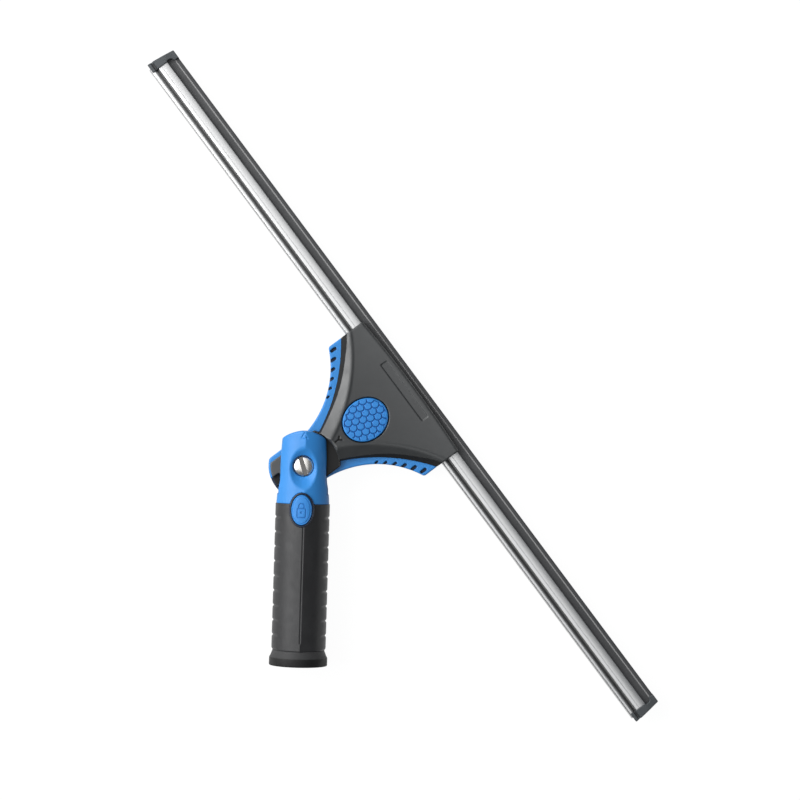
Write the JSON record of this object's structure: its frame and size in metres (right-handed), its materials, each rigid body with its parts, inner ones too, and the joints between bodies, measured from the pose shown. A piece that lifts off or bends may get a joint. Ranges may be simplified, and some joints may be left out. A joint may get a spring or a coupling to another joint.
{
  "type": "window cleaning squeegee",
  "caption": "Window squeegee with a long rubber-edged channel clamped in a head that swivels on a pole handle.",
  "frame": {"origin": "centre of the pole socket's mouth, at the bottom of the handle", "axes": "+Y along the handle towards the head, +Z out of the handle's front, +X to the right seen from the front"},
  "size_m": [0.2955, 0.3666, 0.0324],
  "materials": {
    "core_plastic": "fine matt nylon",
    "grip_rubber": "satin soft-touch rubber",
    "collar_rubber": "satin rubber",
    "blue_plastic": "satin moulded plastic",
    "blue_soft": "soft matt overmould",
    "bezel_plastic": "satin moulded plastic",
    "shell_plastic": "fine textured glass-filled nylon",
    "channel_metal": "brushed lengthways",
    "blade_rubber": "smooth dusty natural rubber",
    "clip_plastic": "satin moulded plastic",
    "stainless": "turned and lightly brushed",
    "steel": "zinc plated",
    "spring_steel": "drawn wire",
    "bronze": "sintered bronze",
    "acetal": "smooth natural acetal"
  },
  "bodies": {
    "handle": {"handle_core": "core_plastic", "grip_sleeve": "grip_rubber", "end_collar": "collar_rubber", "yoke": "blue_plastic", "yoke_pins": "steel", "button_bezel": "bezel_plastic", "lock_spring": "spring_steel", "pivot_nut": "steel", "stop_pin": "steel", "thrust_washer_top": "acetal", "thrust_washer_bottom": "acetal", "wave_washer": "spring_steel"},
    "tension_screw": {"pivot_screw": "stainless"},
    "lock_button": {"lock_button": "blue_soft", "lock_catch": "core_plastic"},
    "head": {"head_base": "blue_plastic", "head_shell": "shell_plastic", "pivot_bush": "bronze", "jaw_pad": "blade_rubber", "head_screws": "steel", "release_spring": "spring_steel"},
    "release_button": {"release_button": "blue_soft", "latch_plate": "steel"},
    "blade": {"channel": "channel_metal", "rubber_blade": "blade_rubber", "end_clip_left": "clip_plastic", "end_clip_right": "clip_plastic"}
  },
  "joints": [
    {"name": "head_swivel", "type": "hinge", "parent": "handle", "child": "head", "pos_m": [0, 0.111, 0], "axis": [0, 0, 1], "range_deg": [-38.4, 141.6]},
    {"name": "channel_slide", "type": "slide", "parent": "head", "child": "blade", "axis": [0.6211, -0.7837, 0], "range_m": [-0.167, 0.173]},
    {"name": "release_press", "type": "slide", "parent": "head", "child": "release_button", "axis": [0, 0, -1], "range_m": [0, 0.0015], "stiffness_N_per_m": 800, "springref_m": -0.0005, "deforming": ["release_spring"]},
    {"name": "lock_press", "type": "slide", "parent": "handle", "child": "lock_button", "axis": [0, 0, -1], "range_m": [0, 0.0025], "stiffness_N_per_m": 800, "springref_m": -0.0005, "deforming": ["lock_spring"]},
    {"name": "tension_screw_turn", "type": "hinge", "parent": "handle", "child": "tension_screw", "pos_m": [0, 0.111, 0], "axis": [0, 0, 1], "range_deg": [-180, 180]}
  ]
}
